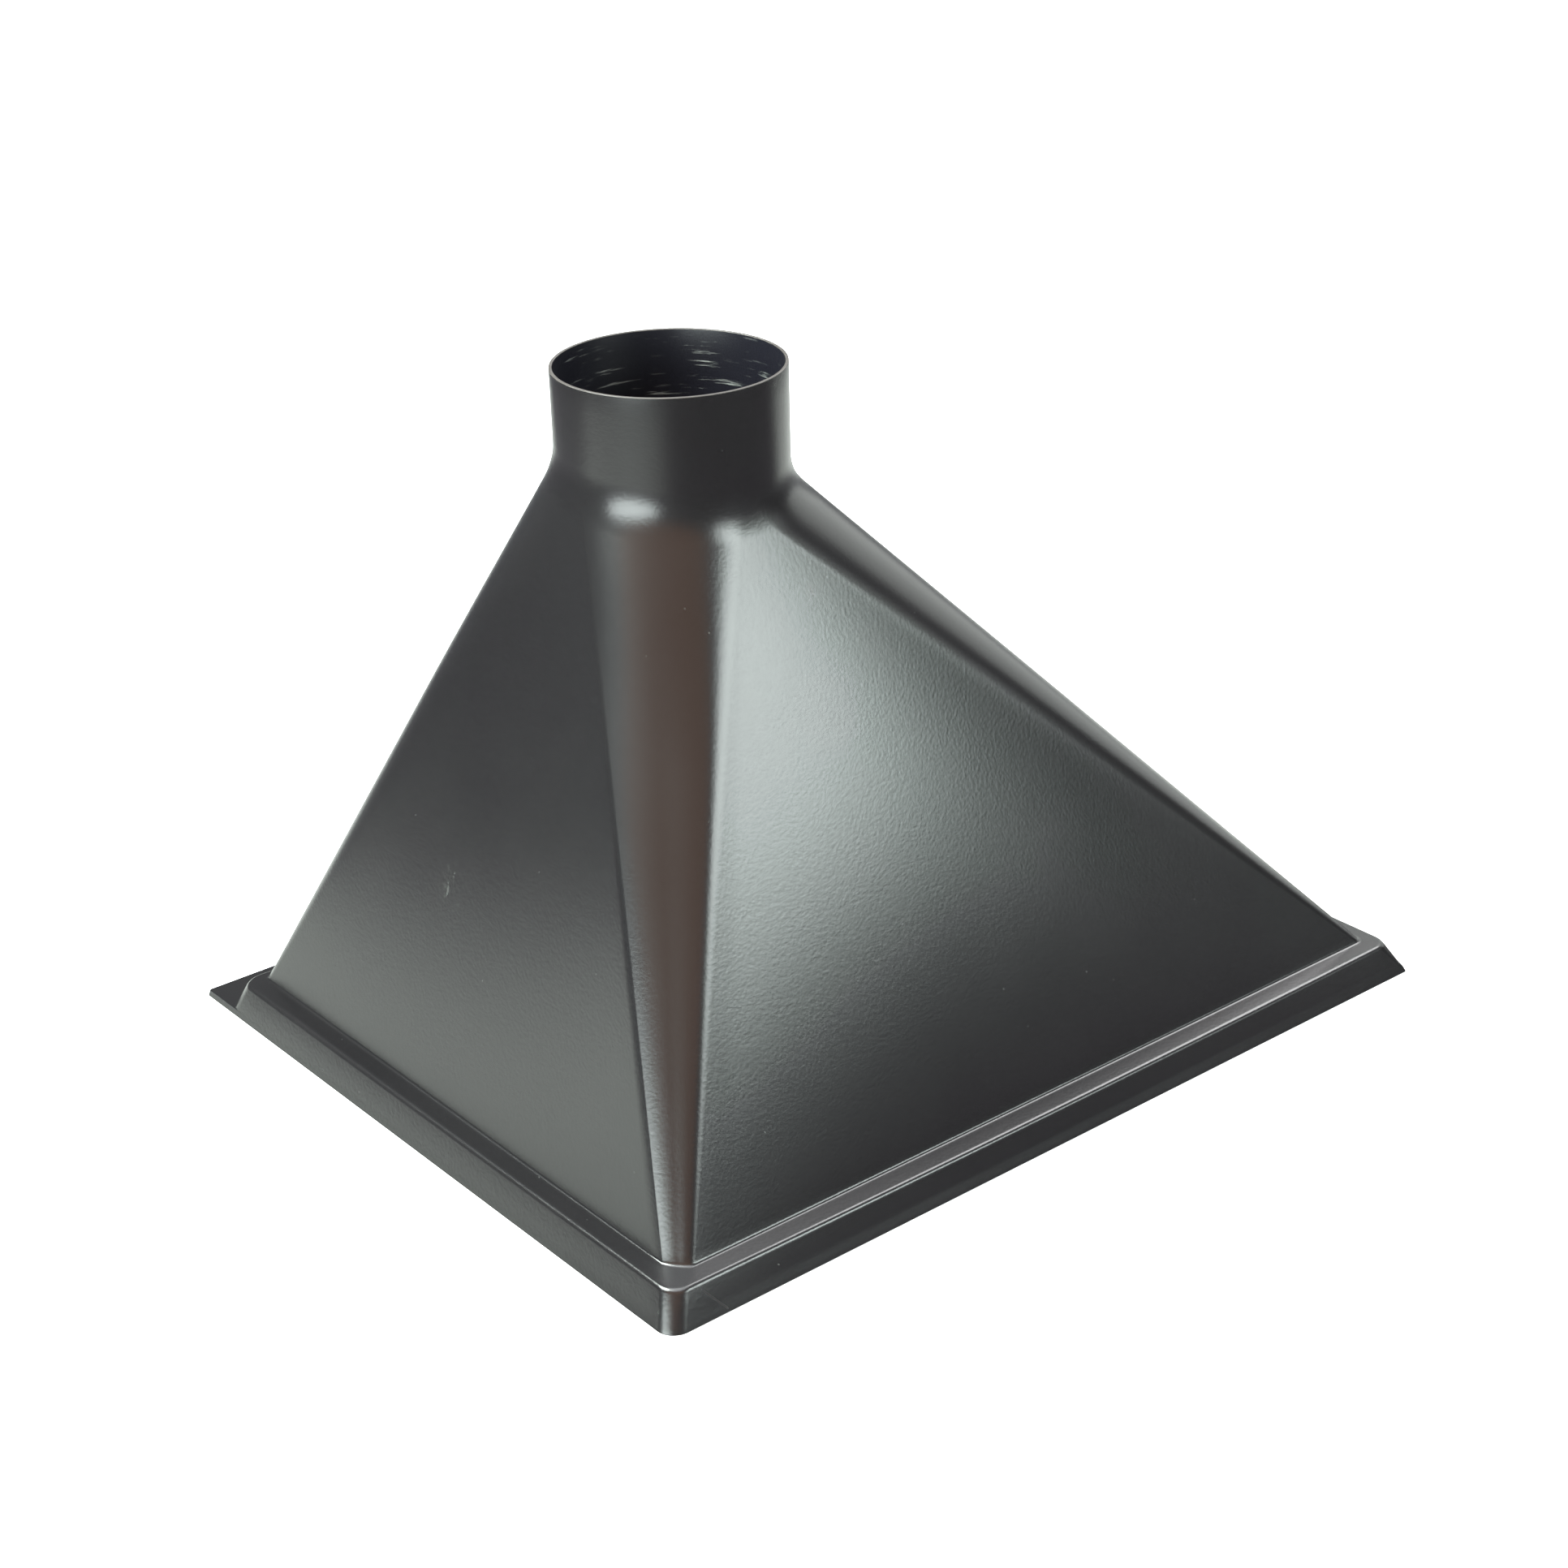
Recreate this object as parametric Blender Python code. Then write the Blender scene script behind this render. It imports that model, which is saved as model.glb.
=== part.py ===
"""A one-piece vacuum-formed extraction hood: an oblong mouth that narrows to a round hose spigot.

Metres, +Z up. The mouth faces down and lies on z = 0. The long sides of the mouth run along X, and
the mounting flange runs along the +Y side. The origin is at the bottom centre of the whole part.

The shell is one skin of closed loops. Every loop has one point for each angle around the part, so
neighbouring loops join point to point: up the outside, over the rim and down the inside. A plan is
an oblong, given as (low x, low y, high x, high y). Corners are counted from +X +Y, anticlockwise.
"""
import math

import bpy
from mathutils import Vector

# Driving dimensions
WALL = 0.0025             # thickness of the formed sheet
BASE_LENGTH = 0.447       # foot of the skirt, along X
BASE_WIDTH = 0.350        # foot of the skirt, along Y
FLANGE_WIDTH = 0.018      # flat flange beyond the skirt's +Y side
SKIRT_HEIGHT = 0.0155     # from the ground to the top of the step
SKIRT_FLARE = 0.0065      # how far the skirt leans out on its way down
STEP_WIDTHS = (0.010, 0.010, 0.008, 0.0045)         # step on the -X, -Y, +X and +Y sides
FOOT_CORNERS = (0.005, 0.005, 0.010, 0.005)         # plan radii of the sloping body at its foot
STEP_CORNER = 0.009                                 # plan radius of the step's corners
BASE_CORNERS = (0.009, 0.009, 0.009, 0.0015)        # plan radii of the skirt at its foot
FLANGE_CORNERS = (0.0015, 0.0015, 0.009, 0.0015)    # the same with the flange's free corners
PANEL_FLATNESS = (-0.10, -0.10, 0.30, -0.10)        # each corner panel, from a true cone at 0 to flat at 1
PANEL_FADE = 0.55         # share of the slope above which a corner panel turns into a true cone
SPIGOT_RADIUS = 0.050     # outside of the hose spigot
SPIGOT_SETBACK = 0.132    # spigot's axis from the foot's -X side
SPIGOT_INSET = 0.1575     # spigot's axis from the foot's -Y side
TOTAL_HEIGHT = 0.3277     # ground to rim
NECK_DROP = 0.0475        # rim to the middle of the bend between body and spigot
BEND_REACH = 0.0109       # half the height of that bend
NECK_TILT = (-0.0025, 0.006)      # how much higher the bend is on the +X and +Y sides of the spigot
EDGE_CHAMFER = 0.0008     # broken outer edge of the rim and of the step

# Resolution
LOOP_POINTS = 64          # points around each loop, a multiple of four
PANEL_LEVELS = 5          # loops over the stretch where the corner panels turn conical
BEND_LEVELS = 7           # loops over the neck's bend

# Worked out from the above
BASE = (-BASE_LENGTH / 2, -(BASE_WIDTH + FLANGE_WIDTH) / 2, BASE_LENGTH / 2, (BASE_WIDTH - FLANGE_WIDTH) / 2)
SKIRT_WALL = WALL * math.hypot(1, SKIRT_FLARE / SKIRT_HEIGHT)
INNER_FOOT = 0.65 * WALL  # inside foot line from the outside one, for walls that lean 18 to 41 degrees
INNER_NECK = 0.30 * WALL  # inside bend below the outside one, for the same walls
INNER_CORNER = 0.0005     # smallest inside plan radius
CORNER_POINTS = LOOP_POINTS // 4
STEP_ANGLE = 2 * math.pi / LOOP_POINTS


def clear_scene():
    for thing in list(bpy.data.objects):
        bpy.data.objects.remove(thing, do_unlink=True)


def directions():
    """Unit vectors at the middle of each facet, so that the four sides are facets of their own."""
    angles = [(index + 0.5) * STEP_ANGLE for index in range(LOOP_POINTS)]
    return [Vector((math.cos(angle), math.sin(angle), 0)) for angle in angles]


def inset_plan(plan, widths):
    """The plan moved in on its -X, -Y, +X and +Y sides."""
    return tuple(side + width * way for side, width, way in zip(plan, widths, (1, 1, -1, -1)))


STEP = inset_plan(BASE, (SKIRT_FLARE,) * 4)
FOOT = inset_plan(STEP, STEP_WIDTHS)
SPIGOT_AXIS = Vector((FOOT[0] + SPIGOT_SETBACK, FOOT[1] + SPIGOT_INSET, 0))


def outline(plan, radii, height):
    """A level oblong with a rounded corner of each radius."""
    points = []
    for index, way in enumerate(directions()):
        radius = radii[index // CORNER_POINTS]
        x = (plan[2] - radius if way.x > 0 else plan[0] + radius) + radius * way.x
        y = (plan[3] - radius if way.y > 0 else plan[1] + radius) + radius * way.y
        points.append(Vector((x, y, height)))
    return points


def skirt_plan(height, inset=0.0):
    lean = SKIRT_FLARE * (1 - height / SKIRT_HEIGHT)
    return inset_plan(STEP, (inset - lean,) * 4)


def skirt_outline(height, inset=0.0):
    share = height / SKIRT_HEIGHT
    radii = [radius + (STEP_CORNER - radius) * share - inset for radius in BASE_CORNERS]
    return outline(skirt_plan(height, inset), [max(radius, INNER_CORNER) for radius in radii], height)


def flange_outline(height):
    """The skirt's outline with its +Y side moved out to the flange's free edge."""
    low_x, low_y, high_x, _ = skirt_plan(height)
    return outline((low_x, low_y, high_x, BASE[3] + FLANGE_WIDTH), FLANGE_CORNERS, height)


def skirt_foot():
    """Where the skirt leaves the flange on the +Y side, and a line across its face elsewhere."""
    on_flange = skirt_outline(WALL)
    on_skirt = skirt_outline(2 * WALL)
    return on_flange[:2 * CORNER_POINTS] + on_skirt[2 * CORNER_POINTS:]


def foot_loop(inset, height):
    return outline(inset_plan(FOOT, (inset,) * 4), [radius - inset for radius in FOOT_CORNERS], height)


def spigot_loop(radius, height):
    return [SPIGOT_AXIS + radius * way + Vector((0, 0, height)) for way in directions()]


def smooth(share):
    return share * share * (3 - 2 * share)


def flatten_corners(points, share):
    """Turn each corner panel from a cone towards the flat between its ends, less so up the slope."""
    fade = 1 - smooth(max(share - PANEL_FADE, 0) / (1 - PANEL_FADE))
    moved = []
    for corner in range(4):
        run = points[corner * CORNER_POINTS:(corner + 1) * CORNER_POINTS]
        for index, point in enumerate(run):
            chord = run[0].lerp(run[-1], index / (CORNER_POINTS - 1))
            moved.append(point.lerp(chord, PANEL_FLATNESS[corner] * fade))
    return moved


def bend_depth(depth):
    """The depth below the neck, eased to nothing over the bend."""
    if depth > BEND_REACH:
        return depth
    return (depth + BEND_REACH) ** 2 / (4 * BEND_REACH)


def body_level(feet, radius, neck_height, depth):
    """One loop of the body, a depth below the middle of the neck's bend, or above it where negative."""
    share = 1 - bend_depth(depth) / (neck_height - feet[0].z)
    height = neck_height - depth
    tilt = share * min((TOTAL_HEIGHT - height) / NECK_DROP, 1)
    points = []
    for foot, top, way in zip(feet, spigot_loop(radius, height), directions()):
        point = foot.lerp(top, share)
        point.z = height + tilt * (NECK_TILT[0] * way.x + NECK_TILT[1] * way.y)
        points.append(point)
    return flatten_corners(points, share)


def body_levels(inset, foot_height, neck_height, radius):
    """Every loop from the body's foot to the spigot, on the outside or the inside of the sheet."""
    feet = foot_loop(inset, foot_height)
    slope = neck_height - foot_height
    faded = slope * (1 - PANEL_FADE) - BEND_REACH
    depths = [slope] + [BEND_REACH + faded * (1 - step / PANEL_LEVELS) for step in range(PANEL_LEVELS)]
    depths += [BEND_REACH * (1 - 2 * step / BEND_LEVELS) for step in range(BEND_LEVELS + 1)]
    return [body_level(feet, radius, neck_height, depth) for depth in depths]


def shell_loops():
    """Every loop of the shell: up the outside, over the rim, down the inside."""
    neck = TOTAL_HEIGHT - NECK_DROP
    bore = SPIGOT_RADIUS - WALL
    outside = body_levels(0, SKIRT_HEIGHT, neck, SPIGOT_RADIUS)
    inside = body_levels(INNER_FOOT, SKIRT_HEIGHT - WALL, neck - INNER_NECK, bore)
    skirt = [flange_outline(0), flange_outline(WALL), skirt_foot(), skirt_outline(SKIRT_HEIGHT - EDGE_CHAMFER)]
    step = outline(inset_plan(STEP, (EDGE_CHAMFER,) * 4), (STEP_CORNER,) * 4, SKIRT_HEIGHT)
    rim = [
        spigot_loop(SPIGOT_RADIUS, TOTAL_HEIGHT - EDGE_CHAMFER),
        spigot_loop(SPIGOT_RADIUS - EDGE_CHAMFER, TOTAL_HEIGHT),
        spigot_loop(bore, TOTAL_HEIGHT),
    ]
    hem = [skirt_outline(SKIRT_HEIGHT - WALL, SKIRT_WALL), skirt_outline(0, SKIRT_WALL)]
    return skirt + [step] + outside + rim + inside[::-1] + hem


def skin(loops):
    """Quads between each loop and the next, and between the last loop and the first."""
    faces = []
    for level in range(len(loops)):
        here = level * LOOP_POINTS
        there = (level + 1) % len(loops) * LOOP_POINTS
        for index in range(LOOP_POINTS):
            after = (index + 1) % LOOP_POINTS
            faces.append((here + index, here + after, there + after, there + index))
    return faces


def black_abs():
    """Satin black ABS sheet."""
    material = bpy.data.materials.new("black_abs")
    material.use_nodes = True
    shader = material.node_tree.nodes["Principled BSDF"]
    shader.inputs["Base Color"].default_value = (0.022, 0.023, 0.024, 1)
    shader.inputs["Roughness"].default_value = 0.38
    shader.inputs["Metallic"].default_value = 0.0
    return material


def hood_shell():
    loops = shell_loops()
    mesh = bpy.data.meshes.new("hood_shell")
    mesh.from_pydata([point for loop in loops for point in loop], [], skin(loops))
    mesh.shade_smooth()
    mesh.set_sharp_from_angle(angle=math.radians(30))
    mesh.materials.append(black_abs())
    shell = bpy.data.objects.new("hood_shell", mesh)
    bpy.context.scene.collection.objects.link(shell)
    return shell


def main():
    clear_scene()
    hood_shell()


main()
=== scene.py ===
"""The looks of a one-piece vacuum-formed extraction hood, standing on a pale floor in soft studio light.

Metres, +Z up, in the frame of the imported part. The hood is one skin of closed loops: up the outside,
over the rim of the hose spigot and down the inside. Every loop has the same number of points, so
neighbouring loops join point to point.
"""

import math

import bpy
import numpy as np
from mathutils import Matrix, Vector


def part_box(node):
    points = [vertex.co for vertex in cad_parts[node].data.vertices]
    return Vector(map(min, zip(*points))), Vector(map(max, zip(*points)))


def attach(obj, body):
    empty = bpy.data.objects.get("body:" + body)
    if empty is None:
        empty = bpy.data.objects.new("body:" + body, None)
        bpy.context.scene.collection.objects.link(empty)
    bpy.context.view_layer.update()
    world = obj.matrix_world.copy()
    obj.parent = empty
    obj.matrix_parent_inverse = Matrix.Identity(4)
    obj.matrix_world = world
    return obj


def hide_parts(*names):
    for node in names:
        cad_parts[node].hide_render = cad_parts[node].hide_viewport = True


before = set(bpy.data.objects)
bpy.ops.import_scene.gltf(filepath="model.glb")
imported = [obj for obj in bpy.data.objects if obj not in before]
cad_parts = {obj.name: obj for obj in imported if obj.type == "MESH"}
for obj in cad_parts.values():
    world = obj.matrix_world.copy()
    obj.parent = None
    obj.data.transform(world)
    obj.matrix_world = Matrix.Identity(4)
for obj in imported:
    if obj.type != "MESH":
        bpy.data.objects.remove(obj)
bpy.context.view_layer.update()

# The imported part
LOW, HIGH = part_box("hood_shell")
CENTRE = (LOW + HIGH) / 2

# Sizes of the formed sheet. Four values are for the -X, -Y, +X and +Y sides, or for the corners,
# counted anticlockwise from +X +Y.
WALL = 0.0025             # thickness of the sheet
FLANGE_WIDTH = 0.018      # flat flange beyond the skirt's +Y side
SKIRT_HEIGHT = 0.0155     # from the ground to the top of the step
SKIRT_FLARE = 0.0065      # how far the skirt leans out on its way down
STEP_WIDTHS = (0.010, 0.010, 0.008, 0.0045)
FOOT_CORNERS = (0.005, 0.005, 0.010, 0.005)         # plan radii of the sloping body at its foot
STEP_CORNERS = (0.009, 0.009, 0.009, 0.009)
BASE_CORNERS = (0.009, 0.009, 0.009, 0.0015)        # plan radii of the skirt at its foot
FLANGE_CORNERS = (0.0015, 0.0015, 0.009, 0.0015)    # the same with the flange's free corners
PANEL_FLATNESS = (-0.10, -0.10, 0.45, -0.10)        # each corner panel, from a true cone at 0 to flat at 1
PANEL_FADE = 0.55         # share of the slope above which a corner panel turns into a true cone
SPIGOT_RADIUS = 0.050     # outside of the hose spigot
RIM_WALL = 0.0014         # thickness of the sheet at the rim, thinner than elsewhere
SPIGOT_SETBACK = 0.132    # spigot's axis from the foot's -X side
SPIGOT_INSET = 0.1575     # spigot's axis from the foot's -Y side
NECK_DROP = 0.0475        # rim to the middle of the bend between body and spigot
BEND_REACH = 0.0109       # half the height of that bend
NECK_TILT = (-0.0025, 0.006)      # how much higher the bend is on the +X and +Y sides of the spigot
STEP_BOW = 0.0018         # how far the step's edge bows out halfway along the -Y side
FACE_BOWS = (0.002, -0.002, 0.006, 0.002)            # how far the +Y, -X, -Y and +X faces bulge
BULGE_EASE = 0.03         # share of a face's width over which its bulge starts
BULGE_PEAK = 27           # brings share * (1 - share)^2 * along * (1 - along) to 1 at its highest

# Softened edges, as the distance from the sharp edge at which the curve starts
HEM_SOFT = 0.0003
FLANGE_SOFT = 0.0005
CREVICE_SOFT = 0.0012     # where the skirt meets the flange
STEP_SOFT = 0.0020
FOOT_SOFT = 0.0015
RIM_SOFT = 0.0004
CREASE_SOFT = 0.55        # share of a corner panel that rounds off into the -Y face

FRONT_CORNER = 2          # the -X -Y corner, whose panel rounds off
SHARP_ANGLE = math.radians(40)    # faces that meet at more than this keep a hard edge

# Resolution
ARC_POINTS = 33           # points around each corner
SIDE_STEPS = 40           # steps along each straight side
SIDE_TURN = math.radians(5.6)     # how far a side turns, seen at the spigot
SLOPE_STEPS = 60
BEND_STEPS = 20
EDGE_STEPS = 6
SPIGOT_STEPS = 4

# Patterns, as cycles per metre and octaves of detail, and depths of bumps in metres
PATCHES = (14, 4)         # slow changes of colour and sheen over the outside
PEEL = (650, 3)           # orange peel left by the mould
PEEL_DEPTH = 0.00005
GRAIN = (3500, 1)
GRAIN_DEPTH = 0.000016
SPECKS = (420, 1)         # dust
INNER_PATCHES = (20, 4)
INNER_PEEL = (1200, 2)
INNER_PEEL_DEPTH = 0.00003
SCUFF_PATCHES = (38, 2)
SAW_MARKS = (700, 4)
SAW_DEPTH = 0.00008
FLOOR_PATCHES = (3, 4)
RUB_LINES = (420, 420, 140)       # cycles per metre along X, Y and Z
STREAKS = (45, 45, 750)

# Bands of a pattern's value, over which it turns from nothing to full
SPECK_BAND = (0.80, 0.84)
RUB_BAND = (0.56, 0.68)
STREAK_BAND = (0.60, 0.72)
SCUFF_BAND = (0.46, 0.60)

# Colours and roughness
FORMED_DARK = (0.0042, 0.0040, 0.0045)
FORMED_PALE = (0.0062, 0.0059, 0.0063)
WORN_COLOUR = (0.022, 0.023, 0.022)
FORMED_ROUGHNESS = (0.225, 0.265)
WORN_ROUGHNESS = 0.36
SCRATCH_ROUGHNESS = 0.9
INNER_DARK = (0.003, 0.003, 0.005)
INNER_PALE = (0.006, 0.006, 0.009)
SCUFF_COLOUR = (0.13, 0.14, 0.135)
INNER_ROUGHNESS = (0.30, 0.6)
CUT_DARK = (0.014, 0.012, 0.011)
CUT_PALE = (0.042, 0.037, 0.034)
CUT_ROUGHNESS = 0.55
FLOOR_DARK = (0.80, 0.80, 0.80)
FLOOR_PALE = (0.84, 0.84, 0.84)
FLOOR_ROUGHNESS = 0.8
BEYOND_TABLE = (0.08, 0.08, 0.085)
TABLE_COLOUR = (0.34, 0.35, 0.335)
CLOTH_COLOUR = (0.050, 0.046, 0.052)
FLAG_COLOUR = (0.01, 0.01, 0.01)
MATT = 0.9

# Marks on the outside
# The middle and reach of each rubbed spot: two on the -X face, one on the -Y face, one on the skirt.
RUBBED_SPOTS = (
    ((-0.181, 0.025, 0.106), 0.009),
    ((-0.186, 0.030, 0.098), 0.005),
    ((-0.0515, -0.077, 0.234), 0.008),
    ((-0.222, -0.174, 0.004), 0.004),
)
SCRATCH = ((-0.2035, -0.1788, 0.0125), (-0.1940, -0.1834, 0.0015))     # its two ends, on the skirt
SCRATCH_WIDTH = 0.0005

# Floor, and the table seen only in the hood
FLOOR_HALF = 6.0
FLOOR_GAP = 0.0002
TABLE_REACH = 1.1
TABLE_FADE = 0.10
CLOTHS = (((0.3, -1.15, 0), 1.12), ((-0.7, 1.45, 0), 0.95))     # middle and reach of each
CARD_CORNERS = ((-1, -1), (1, -1), (1, 1), (-1, 1))

# Light
WINDOW_TINT = (0.90, 1, 0.97)
STRIP_TINT = (0.90, 1, 0.98)
WALL_TINT = (0.95, 1, 0.96)
BACK_TINT = (0.92, 1, 0.95)
WARM_TINT = (1, 0.44, 0.17)
ROOM_TINT = (0.95, 0.98, 1.0)
WALL_BRIGHTNESS = 0.22
CEILING_BRIGHTNESS = 7.5
CEILING_START = 0.82      # sine of the elevation at which the ceiling starts to brighten

# Camera, with angles in degrees
CAMERA_AZIMUTH = -39.34
CAMERA_ELEVATION = 23.03
CAMERA_DISTANCE = 1.2957
CAMERA_ROLL = -1.39
CAMERA_LENS = 64.93
CAMERA_NEAR = 0.05
AIM = CENTRE + Vector((-0.0205, -0.0120, -0.0470))

# Worked out from the above
RIM_HEIGHT = HIGH.z
NECK_HEIGHT = RIM_HEIGHT - NECK_DROP
BORE_RADIUS = SPIGOT_RADIUS - WALL
SKIRT_WALL = WALL * math.hypot(1, SKIRT_FLARE / SKIRT_HEIGHT)
INNER_FOOT = 0.65 * WALL  # inside foot line from the outside one, for walls that lean 17 to 42 degrees
INNER_NECK = 0.30 * WALL  # inside bend below the outside one, for the same walls
INNER_CORNER = 0.0005     # smallest inside plan radius
RUN_POINTS = ARC_POINTS + SIDE_STEPS - 1
INWARD = np.array((1, 1, -1, -1))
QUARTER = math.pi / 2


# ---- Loops of the skin ----

def unit(vectors):
    return vectors / np.linalg.norm(vectors, axis=-1, keepdims=True)


def smooth(share):
    share = np.clip(share, 0, 1)
    return share * share * (3 - 2 * share)


def stations():
    """Each loop point's direction, and its share of each of the four corners."""
    angles, shares = [], []
    for corner in range(4):
        whole = np.eye(4)[corner]
        following = np.eye(4)[(corner + 1) % 4]
        start = corner * QUARTER + SIDE_TURN / 2
        along = np.linspace(0, 1, ARC_POINTS)
        angles.append(start + along * (QUARTER - SIDE_TURN))
        shares.append(np.tile(whole, (ARC_POINTS, 1)))
        along = np.arange(1, SIDE_STEPS) / SIDE_STEPS
        angles.append(start + QUARTER - SIDE_TURN + along * SIDE_TURN)
        shares.append(whole + along[:, None] * (following - whole))
    angles = np.concatenate(angles)
    return np.stack((np.cos(angles), np.sin(angles), 0 * angles), axis=1), np.concatenate(shares)


WAYS, SHARES = stations()
BASE = np.array((LOW.x, LOW.y, HIGH.x, HIGH.y - FLANGE_WIDTH))
STEP = BASE + SKIRT_FLARE * INWARD
FOOT = STEP + STEP_WIDTHS * INWARD
SPIGOT_AXIS = np.array((FOOT[0] + SPIGOT_SETBACK, FOOT[1] + SPIGOT_INSET, 0))


def outline(plan, radii, height):
    """A level oblong with a rounded corner of each radius. A plan is low x, low y, high x, high y."""
    radii = np.array(radii)
    right, top = np.array((1, 0, 0, 1)), np.array((1, 1, 0, 0))
    x = np.where(right, plan[2] - radii, plan[0] + radii)
    y = np.where(top, plan[3] - radii, plan[1] + radii)
    centres = np.stack((x, y, np.full(4, height)), axis=1)
    return SHARES @ centres + (SHARES @ radii)[:, None] * WAYS


def skirt_plan(height, inset=0.0):
    return STEP + (inset - SKIRT_FLARE * (1 - height / SKIRT_HEIGHT)) * INWARD


def skirt_outline(height, inset=0.0):
    share = height / SKIRT_HEIGHT
    radii = np.array(BASE_CORNERS) * (1 - share) + np.array(STEP_CORNERS) * share - inset
    return outline(skirt_plan(height, inset), np.maximum(radii, INNER_CORNER), height)


def flange_outline(height):
    """The skirt's outline with its +Y side moved out to the flange's free edge."""
    plan = skirt_plan(height)
    plan[3] = HIGH.y
    return outline(plan, FLANGE_CORNERS, height)


def skirt_foot():
    """Where the skirt leaves the flange on the +Y side, and a line across its face elsewhere."""
    on_flange = (SHARES[:, 0] + SHARES[:, 1])[:, None]
    return on_flange * skirt_outline(WALL) + (1 - on_flange) * skirt_outline(2 * WALL)


def bowed_step():
    """The edge of the step, which bows out along its -Y side."""
    loop = outline(STEP, STEP_CORNERS, SKIRT_HEIGHT)
    on_front = (SHARES[:, 2] + SHARES[:, 3] == 1) & (SHARES[:, 2] * SHARES[:, 3] > 0)
    loop[:, 1] -= 4 * STEP_BOW * SHARES[:, 2] * SHARES[:, 3] * on_front
    return loop


def foot_loop(inset, height):
    return outline(FOOT + inset * INWARD, np.array(FOOT_CORNERS) - inset, height)


def spigot_loop(radius, height):
    return SPIGOT_AXIS + radius * WAYS + (0, 0, height)


def flatten_corners(loop, share):
    """Turn each corner panel from a cone towards the flat between its ends, less so up the slope."""
    fade = 1 - smooth((share - PANEL_FADE) / (1 - PANEL_FADE))
    along = np.linspace(0, 1, ARC_POINTS)[:, None]
    for corner, flatness in enumerate(PANEL_FLATNESS):
        arc = slice(corner * RUN_POINTS, corner * RUN_POINTS + ARC_POINTS)
        first, last = loop[arc][0].copy(), loop[arc][-1].copy()
        amount = flatness * fade
        if corner == FRONT_CORNER:
            amount = amount * smooth((1 - along) / CREASE_SOFT)
        loop[arc] += amount * (first + along * (last - first) - loop[arc])
    return loop


def eased(along):
    """The distance along a face's width, levelled off at 0 so that a bulge starts without a crease."""
    return along ** 2 / (along + BULGE_EASE)


def bulged(loop, share):
    """Push each face out, or in where its bow is negative, most between its edges and low on the slope."""
    for side, bow in enumerate(FACE_BOWS):
        along = np.linspace(0, 1, SIDE_STEPS + 1)[:, None]
        run = np.arange(SIDE_STEPS + 1) + side * RUN_POINTS + ARC_POINTS - 1
        angle = (side + 1) * QUARTER
        way = np.array((math.cos(angle), math.sin(angle), 0))
        across = eased(along) * eased(1 - along)
        loop[run % len(loop)] += bow * BULGE_PEAK * share * (1 - share) ** 2 * across * way
    return loop


def bend_depth(depth):
    """The depth below the neck, eased to nothing over the bend."""
    if depth > BEND_REACH:
        return depth
    return max(depth + BEND_REACH, 0) ** 2 / (4 * BEND_REACH)


def body_level(feet, radius, neck_height, depth):
    """One loop of the body, a depth below the middle of the neck's bend, or above it where negative."""
    share = 1 - bend_depth(depth) / (neck_height - feet[0, 2])
    height = neck_height - depth
    loop = feet + share * (spigot_loop(radius, height) - feet)
    tilt = share * min((RIM_HEIGHT - height) / NECK_DROP, 1)
    loop[:, 2] = height + tilt * (WAYS[:, :2] @ NECK_TILT)
    return bulged(flatten_corners(loop, share), share)


def body_loops(inset, foot_height, neck_height, radius):
    """Every loop from the body's foot to the spigot, on the outside or the inside of the sheet."""
    feet = foot_loop(inset, foot_height)
    slope = np.linspace(neck_height - foot_height, BEND_REACH, SLOPE_STEPS + 1)
    bend = np.linspace(BEND_REACH, -BEND_REACH, BEND_STEPS + 1)
    return [body_level(feet, radius, neck_height, depth) for depth in (*slope, *bend[1:])]


def softened(before, edge, after, setback):
    """Loops around an edge, on a curve that starts and ends the setback away from it."""
    start = edge + setback * unit(before - edge)
    end = edge + setback * unit(after - edge)
    shares = np.linspace(0, 1, EDGE_STEPS + 1)
    return [(1 - t) ** 2 * start + 2 * t * (1 - t) * edge + t ** 2 * end for t in shares]


def spigot_loops(radius, bottom, top):
    shares = np.arange(1, SPIGOT_STEPS)[:, None, None] / SPIGOT_STEPS
    return list(bottom + shares * (spigot_loop(radius, top) - bottom))


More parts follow.
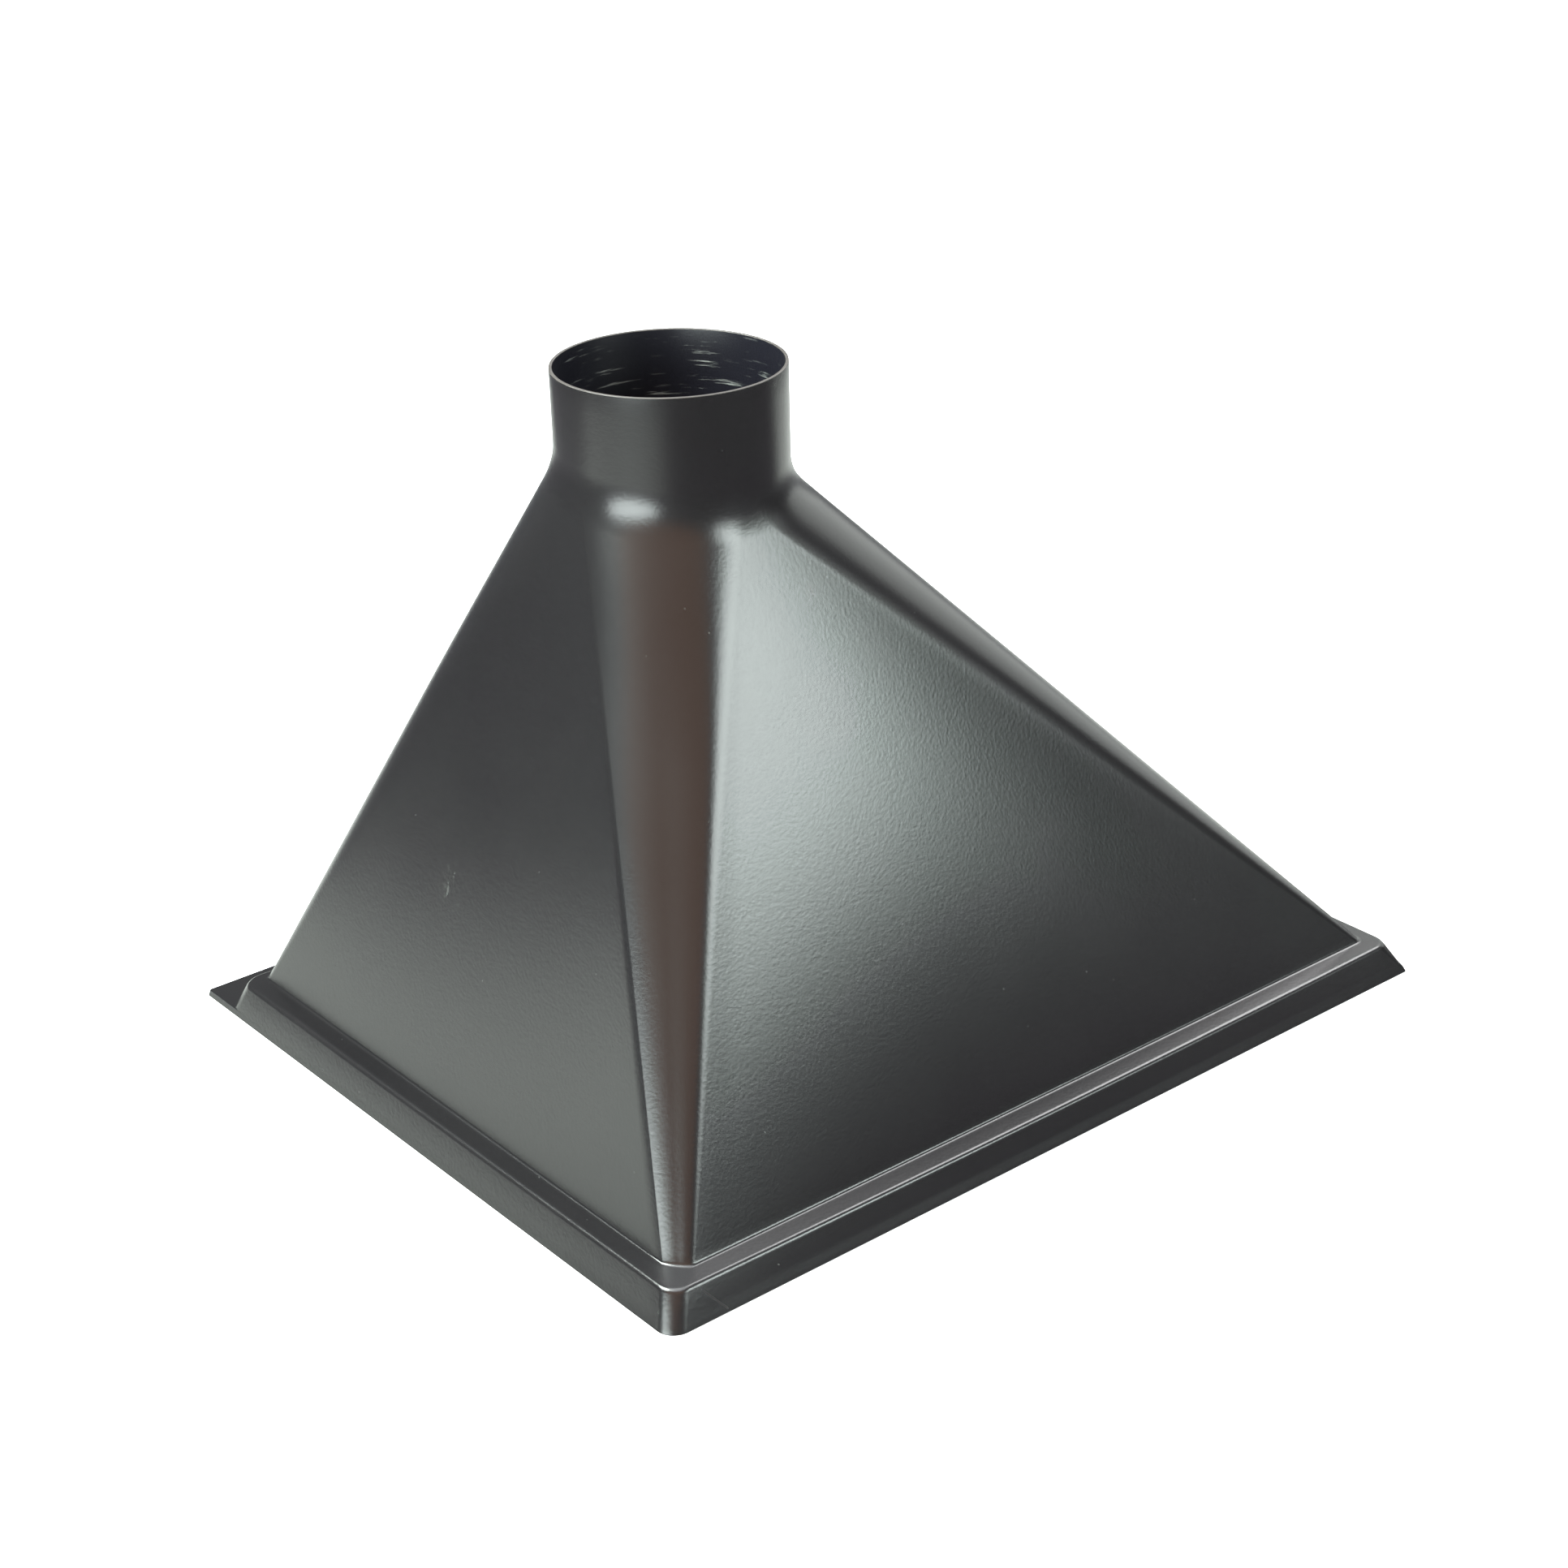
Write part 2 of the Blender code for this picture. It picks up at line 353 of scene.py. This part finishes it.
def skin_loops():
    """Every loop of the skin in order, and where the rim's and the hem's cut edges start and end."""
    hem_out = flange_outline(0)
    flange_top = flange_outline(WALL)
    skirt_line = skirt_foot()
    step = bowed_step()
    hem_in = skirt_outline(0, SKIRT_WALL)
    roof = skirt_outline(SKIRT_HEIGHT - WALL, SKIRT_WALL)
    outside = body_loops(0, SKIRT_HEIGHT, NECK_HEIGHT, SPIGOT_RADIUS)
    inside = body_loops(INNER_FOOT, SKIRT_HEIGHT - WALL, NECK_HEIGHT - INNER_NECK, BORE_RADIUS)
    rim_out = spigot_loop(SPIGOT_RADIUS, RIM_HEIGHT)
    rim_in = spigot_loop(SPIGOT_RADIUS - RIM_WALL, RIM_HEIGHT)

    loops = softened(hem_in, hem_out, flange_top, HEM_SOFT)
    loops += softened(hem_out, flange_top, skirt_line, FLANGE_SOFT)
    loops += softened(flange_top, skirt_line, step, CREVICE_SOFT)
    loops += softened(skirt_line, step, outside[0], STEP_SOFT)
    loops += softened(step, outside[0], outside[1], FOOT_SOFT)
    loops += outside[1:]
    loops += spigot_loops(SPIGOT_RADIUS, outside[-1], RIM_HEIGHT - 2 * RIM_SOFT)
    rim_start = len(loops)
    loops += softened(outside[-1], rim_out, rim_in, RIM_SOFT)
    loops += softened(rim_out, rim_in, inside[-1], RIM_SOFT)
    rim_end = len(loops)
    loops += spigot_loops(SPIGOT_RADIUS - RIM_WALL, inside[-1], RIM_HEIGHT - 2 * RIM_SOFT)[::-1]
    loops += inside[:0:-1]
    loops += softened(inside[1], inside[0], roof, FOOT_SOFT)
    loops += softened(inside[0], roof, hem_in, STEP_SOFT)
    hem_start = len(loops)
    loops += softened(roof, hem_in, hem_out, HEM_SOFT)
    return loops, (rim_start, rim_end), hem_start


def skin_faces(count, points):
    """Quads between each loop and the next, and between the last loop and the first."""
    level, index = np.divmod(np.arange(count * points), points)
    after = (index + 1) % points
    here = level * points
    there = (level + 1) % count * points
    return np.stack((here + index, here + after, there + after, there + index), axis=1)


INNER, CUT = 1, 2         # places among the skin's materials, after the outside's at 0


def hood_skin():
    """The whole hood: a face is on the outside unless it is an inside or a cut edge."""
    loops, (rim_start, rim_end), hem_start = skin_loops()
    points = len(loops[0])
    mesh = bpy.data.meshes.new("hood_skin")
    mesh.from_pydata(np.concatenate(loops).tolist(), [], skin_faces(len(loops), points).tolist())
    mesh.shade_smooth()
    mesh.set_sharp_from_angle(angle=SHARP_ANGLE)
    for material in (formed_abs(), inner_abs(), cut_edge()):
        mesh.materials.append(material)
    for face in mesh.polygons:
        level = face.index // points
        if rim_start <= level < rim_end - 1 or level >= hem_start:
            face.material_index = CUT
        elif level >= rim_end - 1:
            face.material_index = INNER
    skin = bpy.data.objects.new("hood_skin", mesh)
    bpy.context.scene.collection.objects.link(skin)
    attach(skin, "root")
    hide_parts("hood_shell")


# ---- Materials ----

MIX_FROM, MIX_TO, MIX_RESULT = 6, 7, 2     # colour sockets of a Mix node


def material_nodes(name):
    material = bpy.data.materials.new(name)
    material.use_nodes = True
    return material, material.node_tree, material.node_tree.nodes["Principled BSDF"]


def place_in(tree):
    return tree.nodes.new("ShaderNodeTexCoord").outputs["Object"]


def height_in(tree, place):
    node = tree.nodes.new("ShaderNodeSeparateXYZ")
    tree.links.new(place, node.inputs[0])
    return node.outputs["Z"]


def noise(tree, vector, per_metre, detail, roughness=0.5):
    node = tree.nodes.new("ShaderNodeTexNoise")
    node.inputs["Scale"].default_value = per_metre
    node.inputs["Detail"].default_value = detail
    node.inputs["Roughness"].default_value = roughness
    tree.links.new(vector, node.inputs["Vector"])
    return node.outputs["Fac"]


def mapped(tree, value, **limits):
    node = tree.nodes.new("ShaderNodeMapRange")
    for name, limit in limits.items():
        node.inputs[name.replace("_", " ").title()].default_value = limit
    tree.links.new(value, node.inputs["Value"])
    return node


def spread(tree, value, low, high):
    """The value from 0 to 1 spread over low to high."""
    return mapped(tree, value, to_min=low, to_max=high).outputs["Result"]


def threshold(tree, value, low, high):
    """0 below low, 1 above high."""
    return mapped(tree, value, from_min=low, from_max=high).outputs["Result"]


def math_node(tree, operation, first, second):
    node = tree.nodes.new("ShaderNodeMath")
    node.operation = operation
    tree.links.new(first, node.inputs[0])
    tree.links.new(second, node.inputs[1])
    return node.outputs["Value"]


def largest(tree, first, second):
    return math_node(tree, "MAXIMUM", first, second)


def product(tree, first, second):
    return math_node(tree, "MULTIPLY", first, second)


def vector_math(tree, operation, first, second=None):
    node = tree.nodes.new("ShaderNodeVectorMath")
    node.operation = operation
    tree.links.new(first, node.inputs[0])
    if second is not None:
        node.inputs[1].default_value = second
    return node.outputs


def stretched(tree, place, scale):
    return vector_math(tree, "MULTIPLY", place, scale)["Vector"]


def blend(tree, share, low, high):
    """A colour between two, by the share from 0 to 1."""
    node = tree.nodes.new("ShaderNodeMix")
    node.data_type = "RGBA"
    node.inputs[MIX_FROM].default_value = (*low, 1)
    node.inputs[MIX_TO].default_value = (*high, 1)
    tree.links.new(share, node.inputs["Factor"])
    return node.outputs[MIX_RESULT]


def blend_in(tree, share, base, colour):
    """A colour over another that is already in the tree."""
    result = blend(tree, share, colour, colour)
    tree.links.new(base, result.node.inputs[MIX_FROM])
    return result


def bump(tree, height, distance, normal=None):
    node = tree.nodes.new("ShaderNodeBump")
    node.inputs["Distance"].default_value = distance
    tree.links.new(height, node.inputs["Height"])
    if normal:
        tree.links.new(normal, node.inputs["Normal"])
    return node.outputs["Normal"]


def near(tree, place, centre, reach, fade):
    """1 around a centre, easing to 0 across the reach."""
    away = vector_math(tree, "DISTANCE", place, centre)["Value"]
    edge = mapped(tree, away, from_min=reach + fade, from_max=reach - fade)
    edge.interpolation_type = "SMOOTHSTEP"
    return edge.outputs["Result"]


def rubbed(tree, place):
    """Small scratched patches from handling."""
    lines = noise(tree, stretched(tree, place, RUB_LINES), 1, detail=3, roughness=0.6)
    patches = None
    for centre, reach in RUBBED_SPOTS:
        patch = near(tree, place, centre, reach, reach / 2)
        patches = largest(tree, patches, patch) if patches else patch
    return product(tree, threshold(tree, lines, *RUB_BAND), patches)


def scratch(tree, place):
    """1 on the straight scratch in the skirt."""
    start, end = Vector(SCRATCH[0]), Vector(SCRATCH[1])
    from_start = vector_math(tree, "SUBTRACT", place, start)["Vector"]
    across = vector_math(tree, "CROSS_PRODUCT", from_start, (end - start).normalized())["Vector"]
    away = vector_math(tree, "LENGTH", across)["Value"]
    line = threshold(tree, away, SCRATCH_WIDTH, SCRATCH_WIDTH / 2)
    reach = (end - start).length / 2
    return product(tree, line, near(tree, place, (start + end) / 2, reach, reach / 10))


def formed_abs():
    """Satin black ABS as it leaves the mould, with a fine orange peel, specks of dust and rubbed spots."""
    material, tree, shader = material_nodes("formed_abs")
    place = place_in(tree)
    patches = noise(tree, place, *PATCHES)
    specks = threshold(tree, noise(tree, place, *SPECKS), *SPECK_BAND)
    wear = largest(tree, rubbed(tree, place), specks)
    base = blend(tree, patches, FORMED_DARK, FORMED_PALE)
    tree.links.new(blend_in(tree, wear, base, WORN_COLOUR), shader.inputs["Base Color"])
    worn = spread(tree, wear, 0, WORN_ROUGHNESS)
    scratched = spread(tree, scratch(tree, place), 0, SCRATCH_ROUGHNESS)
    sheen = spread(tree, patches, *FORMED_ROUGHNESS)
    roughness = largest(tree, sheen, largest(tree, worn, scratched))
    tree.links.new(roughness, shader.inputs["Roughness"])
    peeled = bump(tree, noise(tree, place, *PEEL), PEEL_DEPTH)
    grained = bump(tree, noise(tree, place, *GRAIN), GRAIN_DEPTH, peeled)
    tree.links.new(grained, shader.inputs["Normal"])
    return material


def inner_abs():
    """The inside of the sheet, near black, with pale scuffs around the spigot where hoses went in."""
    material, tree, shader = material_nodes("inner_abs")
    place = place_in(tree)
    base = blend(tree, noise(tree, place, *INNER_PATCHES), INNER_DARK, INNER_PALE)
    lines = noise(tree, stretched(tree, place, STREAKS), 1, detail=4, roughness=0.6)
    streaks = threshold(tree, lines, *STREAK_BAND)
    worn = threshold(tree, noise(tree, place, *SCUFF_PATCHES), *SCUFF_BAND)
    in_spigot = threshold(tree, height_in(tree, place), NECK_HEIGHT, NECK_HEIGHT + NECK_DROP / 2)
    scuffs = product(tree, product(tree, streaks, worn), in_spigot)
    tree.links.new(blend_in(tree, scuffs, base, SCUFF_COLOUR), shader.inputs["Base Color"])
    tree.links.new(spread(tree, scuffs, *INNER_ROUGHNESS), shader.inputs["Roughness"])
    tree.links.new(bump(tree, noise(tree, place, *INNER_PEEL), INNER_PEEL_DEPTH), shader.inputs["Normal"])
    return material


def cut_edge():
    """The trimmed edge of the sheet, paler than its faces."""
    material, tree, shader = material_nodes("cut_edge")
    marks = noise(tree, place_in(tree), *SAW_MARKS)
    tree.links.new(blend(tree, marks, CUT_DARK, CUT_PALE), shader.inputs["Base Color"])
    shader.inputs["Roughness"].default_value = CUT_ROUGHNESS
    tree.links.new(bump(tree, marks, SAW_DEPTH), shader.inputs["Normal"])
    return material


def floor_paint():
    material, tree, shader = material_nodes("floor_paint")
    patches = noise(tree, place_in(tree), *FLOOR_PATCHES)
    tree.links.new(blend(tree, patches, FLOOR_DARK, FLOOR_PALE), shader.inputs["Base Color"])
    shader.inputs["Roughness"].default_value = FLOOR_ROUGHNESS
    return material


def table_top():
    """A pale table on a dark floor, with dark cloths on it in front of the hood and behind it."""
    material, tree, shader = material_nodes("table_top")
    place = place_in(tree)
    on_table = near(tree, place, (0, 0, 0), TABLE_REACH, TABLE_FADE)
    colour = blend(tree, on_table, BEYOND_TABLE, TABLE_COLOUR)
    for centre, reach in CLOTHS:
        colour = blend_in(tree, near(tree, place, centre, reach, TABLE_FADE), colour, CLOTH_COLOUR)
    tree.links.new(colour, shader.inputs["Base Color"])
    shader.inputs["Roughness"].default_value = MATT
    shader.inputs["Specular IOR Level"].default_value = 0
    return material


def flag_cloth():
    material, _, shader = material_nodes("flag_cloth")
    shader.inputs["Base Color"].default_value = (*FLAG_COLOUR, 1)
    shader.inputs["Roughness"].default_value = MATT
    return material


# ---- Floor, light and camera ----

def stage_card(name, corners, material):
    mesh = bpy.data.meshes.new(name)
    mesh.from_pydata(corners, [], [(0, 1, 2, 3)])
    mesh.materials.append(material)
    card = bpy.data.objects.new(name, mesh)
    bpy.context.scene.collection.objects.link(card)
    return card


def only_reflected(card):
    """Keep a card for the hood's reflections, out of the picture and of the light on the floor."""
    card.visible_camera = False
    card.visible_diffuse = False
    card.visible_shadow = False


def ground(height):
    return [(x * FLOOR_HALF, y * FLOOR_HALF, height) for x, y in CARD_CORNERS]


def pale_floor():
    floor = stage_card("floor", ground(-FLOOR_GAP), floor_paint())
    floor.visible_glossy = False
    only_reflected(stage_card("table", ground(-FLOOR_GAP / 2), table_top()))


def toward(azimuth, elevation):
    """Unit vector in a direction: azimuth 0 is -Y and 90 is +X, in degrees."""
    a, e = math.radians(azimuth), math.radians(elevation)
    return Vector((math.sin(a) * math.cos(e), -math.cos(a) * math.cos(e), math.sin(e)))


def facing_hood(azimuth, elevation, distance):
    """A place that far from the hood's middle, turned so that local +Z points away from the hood."""
    way = toward(azimuth, elevation)
    return Matrix.Translation(CENTRE + distance * way) @ way.to_track_quat("Z", "Y").to_matrix().to_4x4()


def softbox(name, azimuth, elevation, distance, width, height, brightness, colour=(1, 1, 1)):
    """An oval light that faces the hood, by the brightness of its front."""
    light = bpy.data.lights.new(name, "AREA")
    light.shape = "ELLIPSE"
    light.size = width
    light.size_y = height
    light.energy = brightness * math.pi * width * height * math.pi / 4
    light.color = colour
    lamp = bpy.data.objects.new(name, light)
    lamp.matrix_world = facing_hood(azimuth, elevation, distance)
    bpy.context.scene.collection.objects.link(lamp)


def flag(name, azimuth, elevation, distance, width, height):
    """A black card that faces the hood."""
    turn = facing_hood(azimuth, elevation, distance)
    corners = [turn @ Vector((x * width / 2, y * height / 2, 0)) for x, y in CARD_CORNERS]
    only_reflected(stage_card(name, corners, flag_cloth()))


def lights():
    """Azimuth and elevation in degrees, distance, width and height in metres, brightness and colour."""
    softbox("window", 23, 19.5, 3.0, 1.8, 0.85, 17.5, WINDOW_TINT)
    softbox("window_glow", 38, 19, 3.1, 2.2, 1.2, 1.3, WINDOW_TINT)
    softbox("left_strip", -74, 7, 3.0, 2.5, 0.95, 17, STRIP_TINT)
    softbox("right_wall", 104, 14, 2.5, 2.2, 1.6, 1.3, WALL_TINT)
    softbox("back_top", 104, 50, 2.5, 1.6, 1.6, 12)
    softbox("back_left", -112, 50, 1.2, 0.7, 0.7, 60, BACK_TINT)
    softbox("warm_wall", -45, 38, 2.5, 3.8, 1.7, 1.0, WARM_TINT)
    flag("right_flag", 58, 6, 1.6, 0.9, 0.5)


def room_light():
    """A dim room under a pale ceiling."""
    world = bpy.data.worlds.new("room")
    world.use_nodes = True
    tree = world.node_tree
    backdrop = tree.nodes["Background"]
    backdrop.inputs["Color"].default_value = (*ROOM_TINT, 1)
    way = tree.nodes.new("ShaderNodeTexCoord").outputs["Generated"]
    ceiling = mapped(tree, height_in(tree, way), from_min=CEILING_START,
                     to_min=WALL_BRIGHTNESS, to_max=CEILING_BRIGHTNESS)
    ceiling.interpolation_type = "SMOOTHSTEP"
    tree.links.new(ceiling.outputs["Result"], backdrop.inputs["Strength"])
    bpy.context.scene.world = world


def camera():
    place = CENTRE + CAMERA_DISTANCE * toward(CAMERA_AZIMUTH, CAMERA_ELEVATION)
    roll = Matrix.Rotation(math.radians(CAMERA_ROLL), 3, "Z")
    turn = (AIM - place).to_track_quat("-Z", "Y").to_matrix() @ roll
    view = bpy.data.cameras.new("camera")
    view.lens = CAMERA_LENS
    view.clip_start = CAMERA_NEAR
    eye = bpy.data.objects.new("camera", view)
    eye.matrix_world = Matrix.Translation(place) @ turn.to_4x4()
    bpy.context.scene.collection.objects.link(eye)
    bpy.context.scene.camera = eye


def main():
    hood_skin()
    pale_floor()
    lights()
    room_light()
    camera()
    bpy.context.scene.view_settings.view_transform = "Standard"


main()
